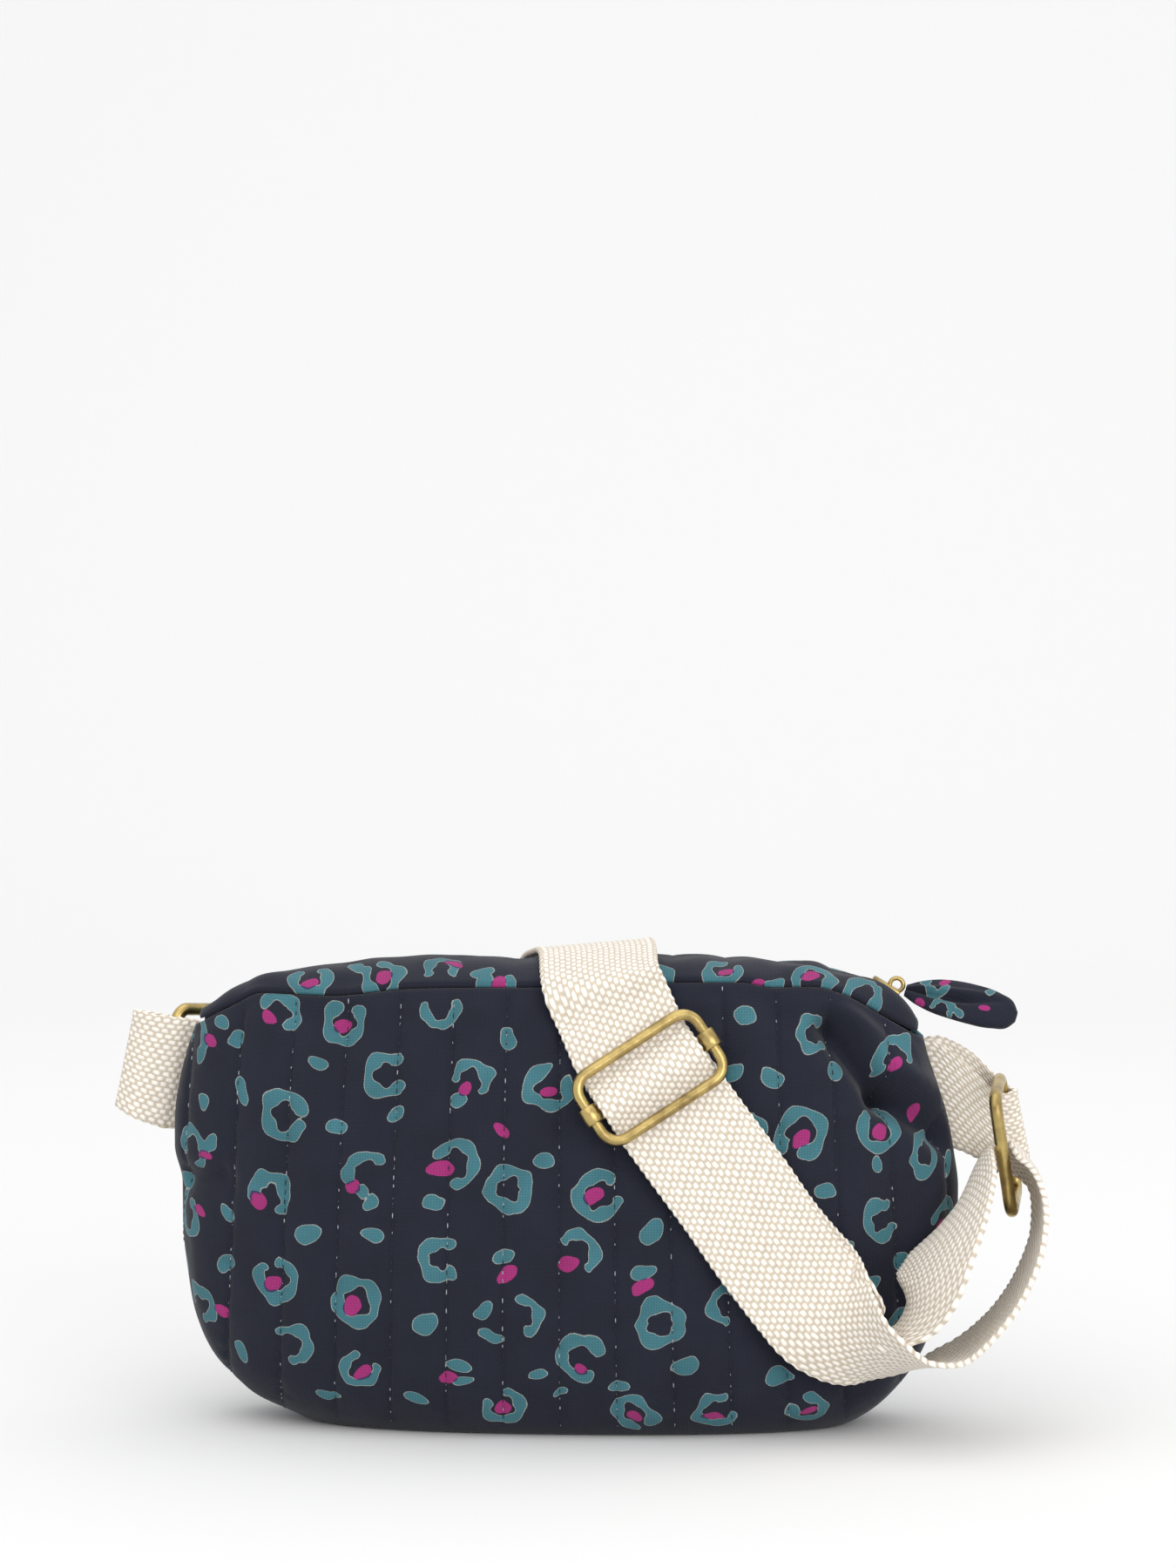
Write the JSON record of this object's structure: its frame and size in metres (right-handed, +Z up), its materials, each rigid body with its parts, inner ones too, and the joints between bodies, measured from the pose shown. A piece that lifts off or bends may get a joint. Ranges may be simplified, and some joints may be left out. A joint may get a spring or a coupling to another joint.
{
  "type": "belt bag",
  "caption": "Soft quilted belt bag standing on its flat base, zipped along the top, with a webbing belt on metal rings thrown over it and an adjusting slider.",
  "frame": {"origin": "on the surface that the bag stands on, under the middle of its base", "axes": "+X to the right as seen from the front, -Y out of the front, +Z up"},
  "size_m": [0.3082, 0.1369, 0.1602],
  "materials": {
    "quilted_cotton": "matt printed cotton, navy with teal and magenta spots",
    "zip_tape": "matt dark woven tape",
    "zip_teeth": "dark coil",
    "webbing": "matt cream cotton webbing, coarse weave",
    "aged_brass": "brushed, slightly darkened"
  },
  "bodies": {
    "root": {"front_panel": "quilted_cotton", "back_panel": "quilted_cotton", "gusset_front": "quilted_cotton", "gusset_back": "quilted_cotton", "zip_pull_tab": "quilted_cotton", "zip_tape_front": "zip_tape", "zip_tape_back": "zip_tape", "zip_teeth": "zip_teeth", "belt": "webbing", "tab_left": "webbing", "tab_right": "webbing", "zip_slider": "aged_brass", "ring_left": "aged_brass", "ring_right": "aged_brass", "slider_frame": "aged_brass", "slider_bar": "aged_brass"}
  },
  "joints": []
}
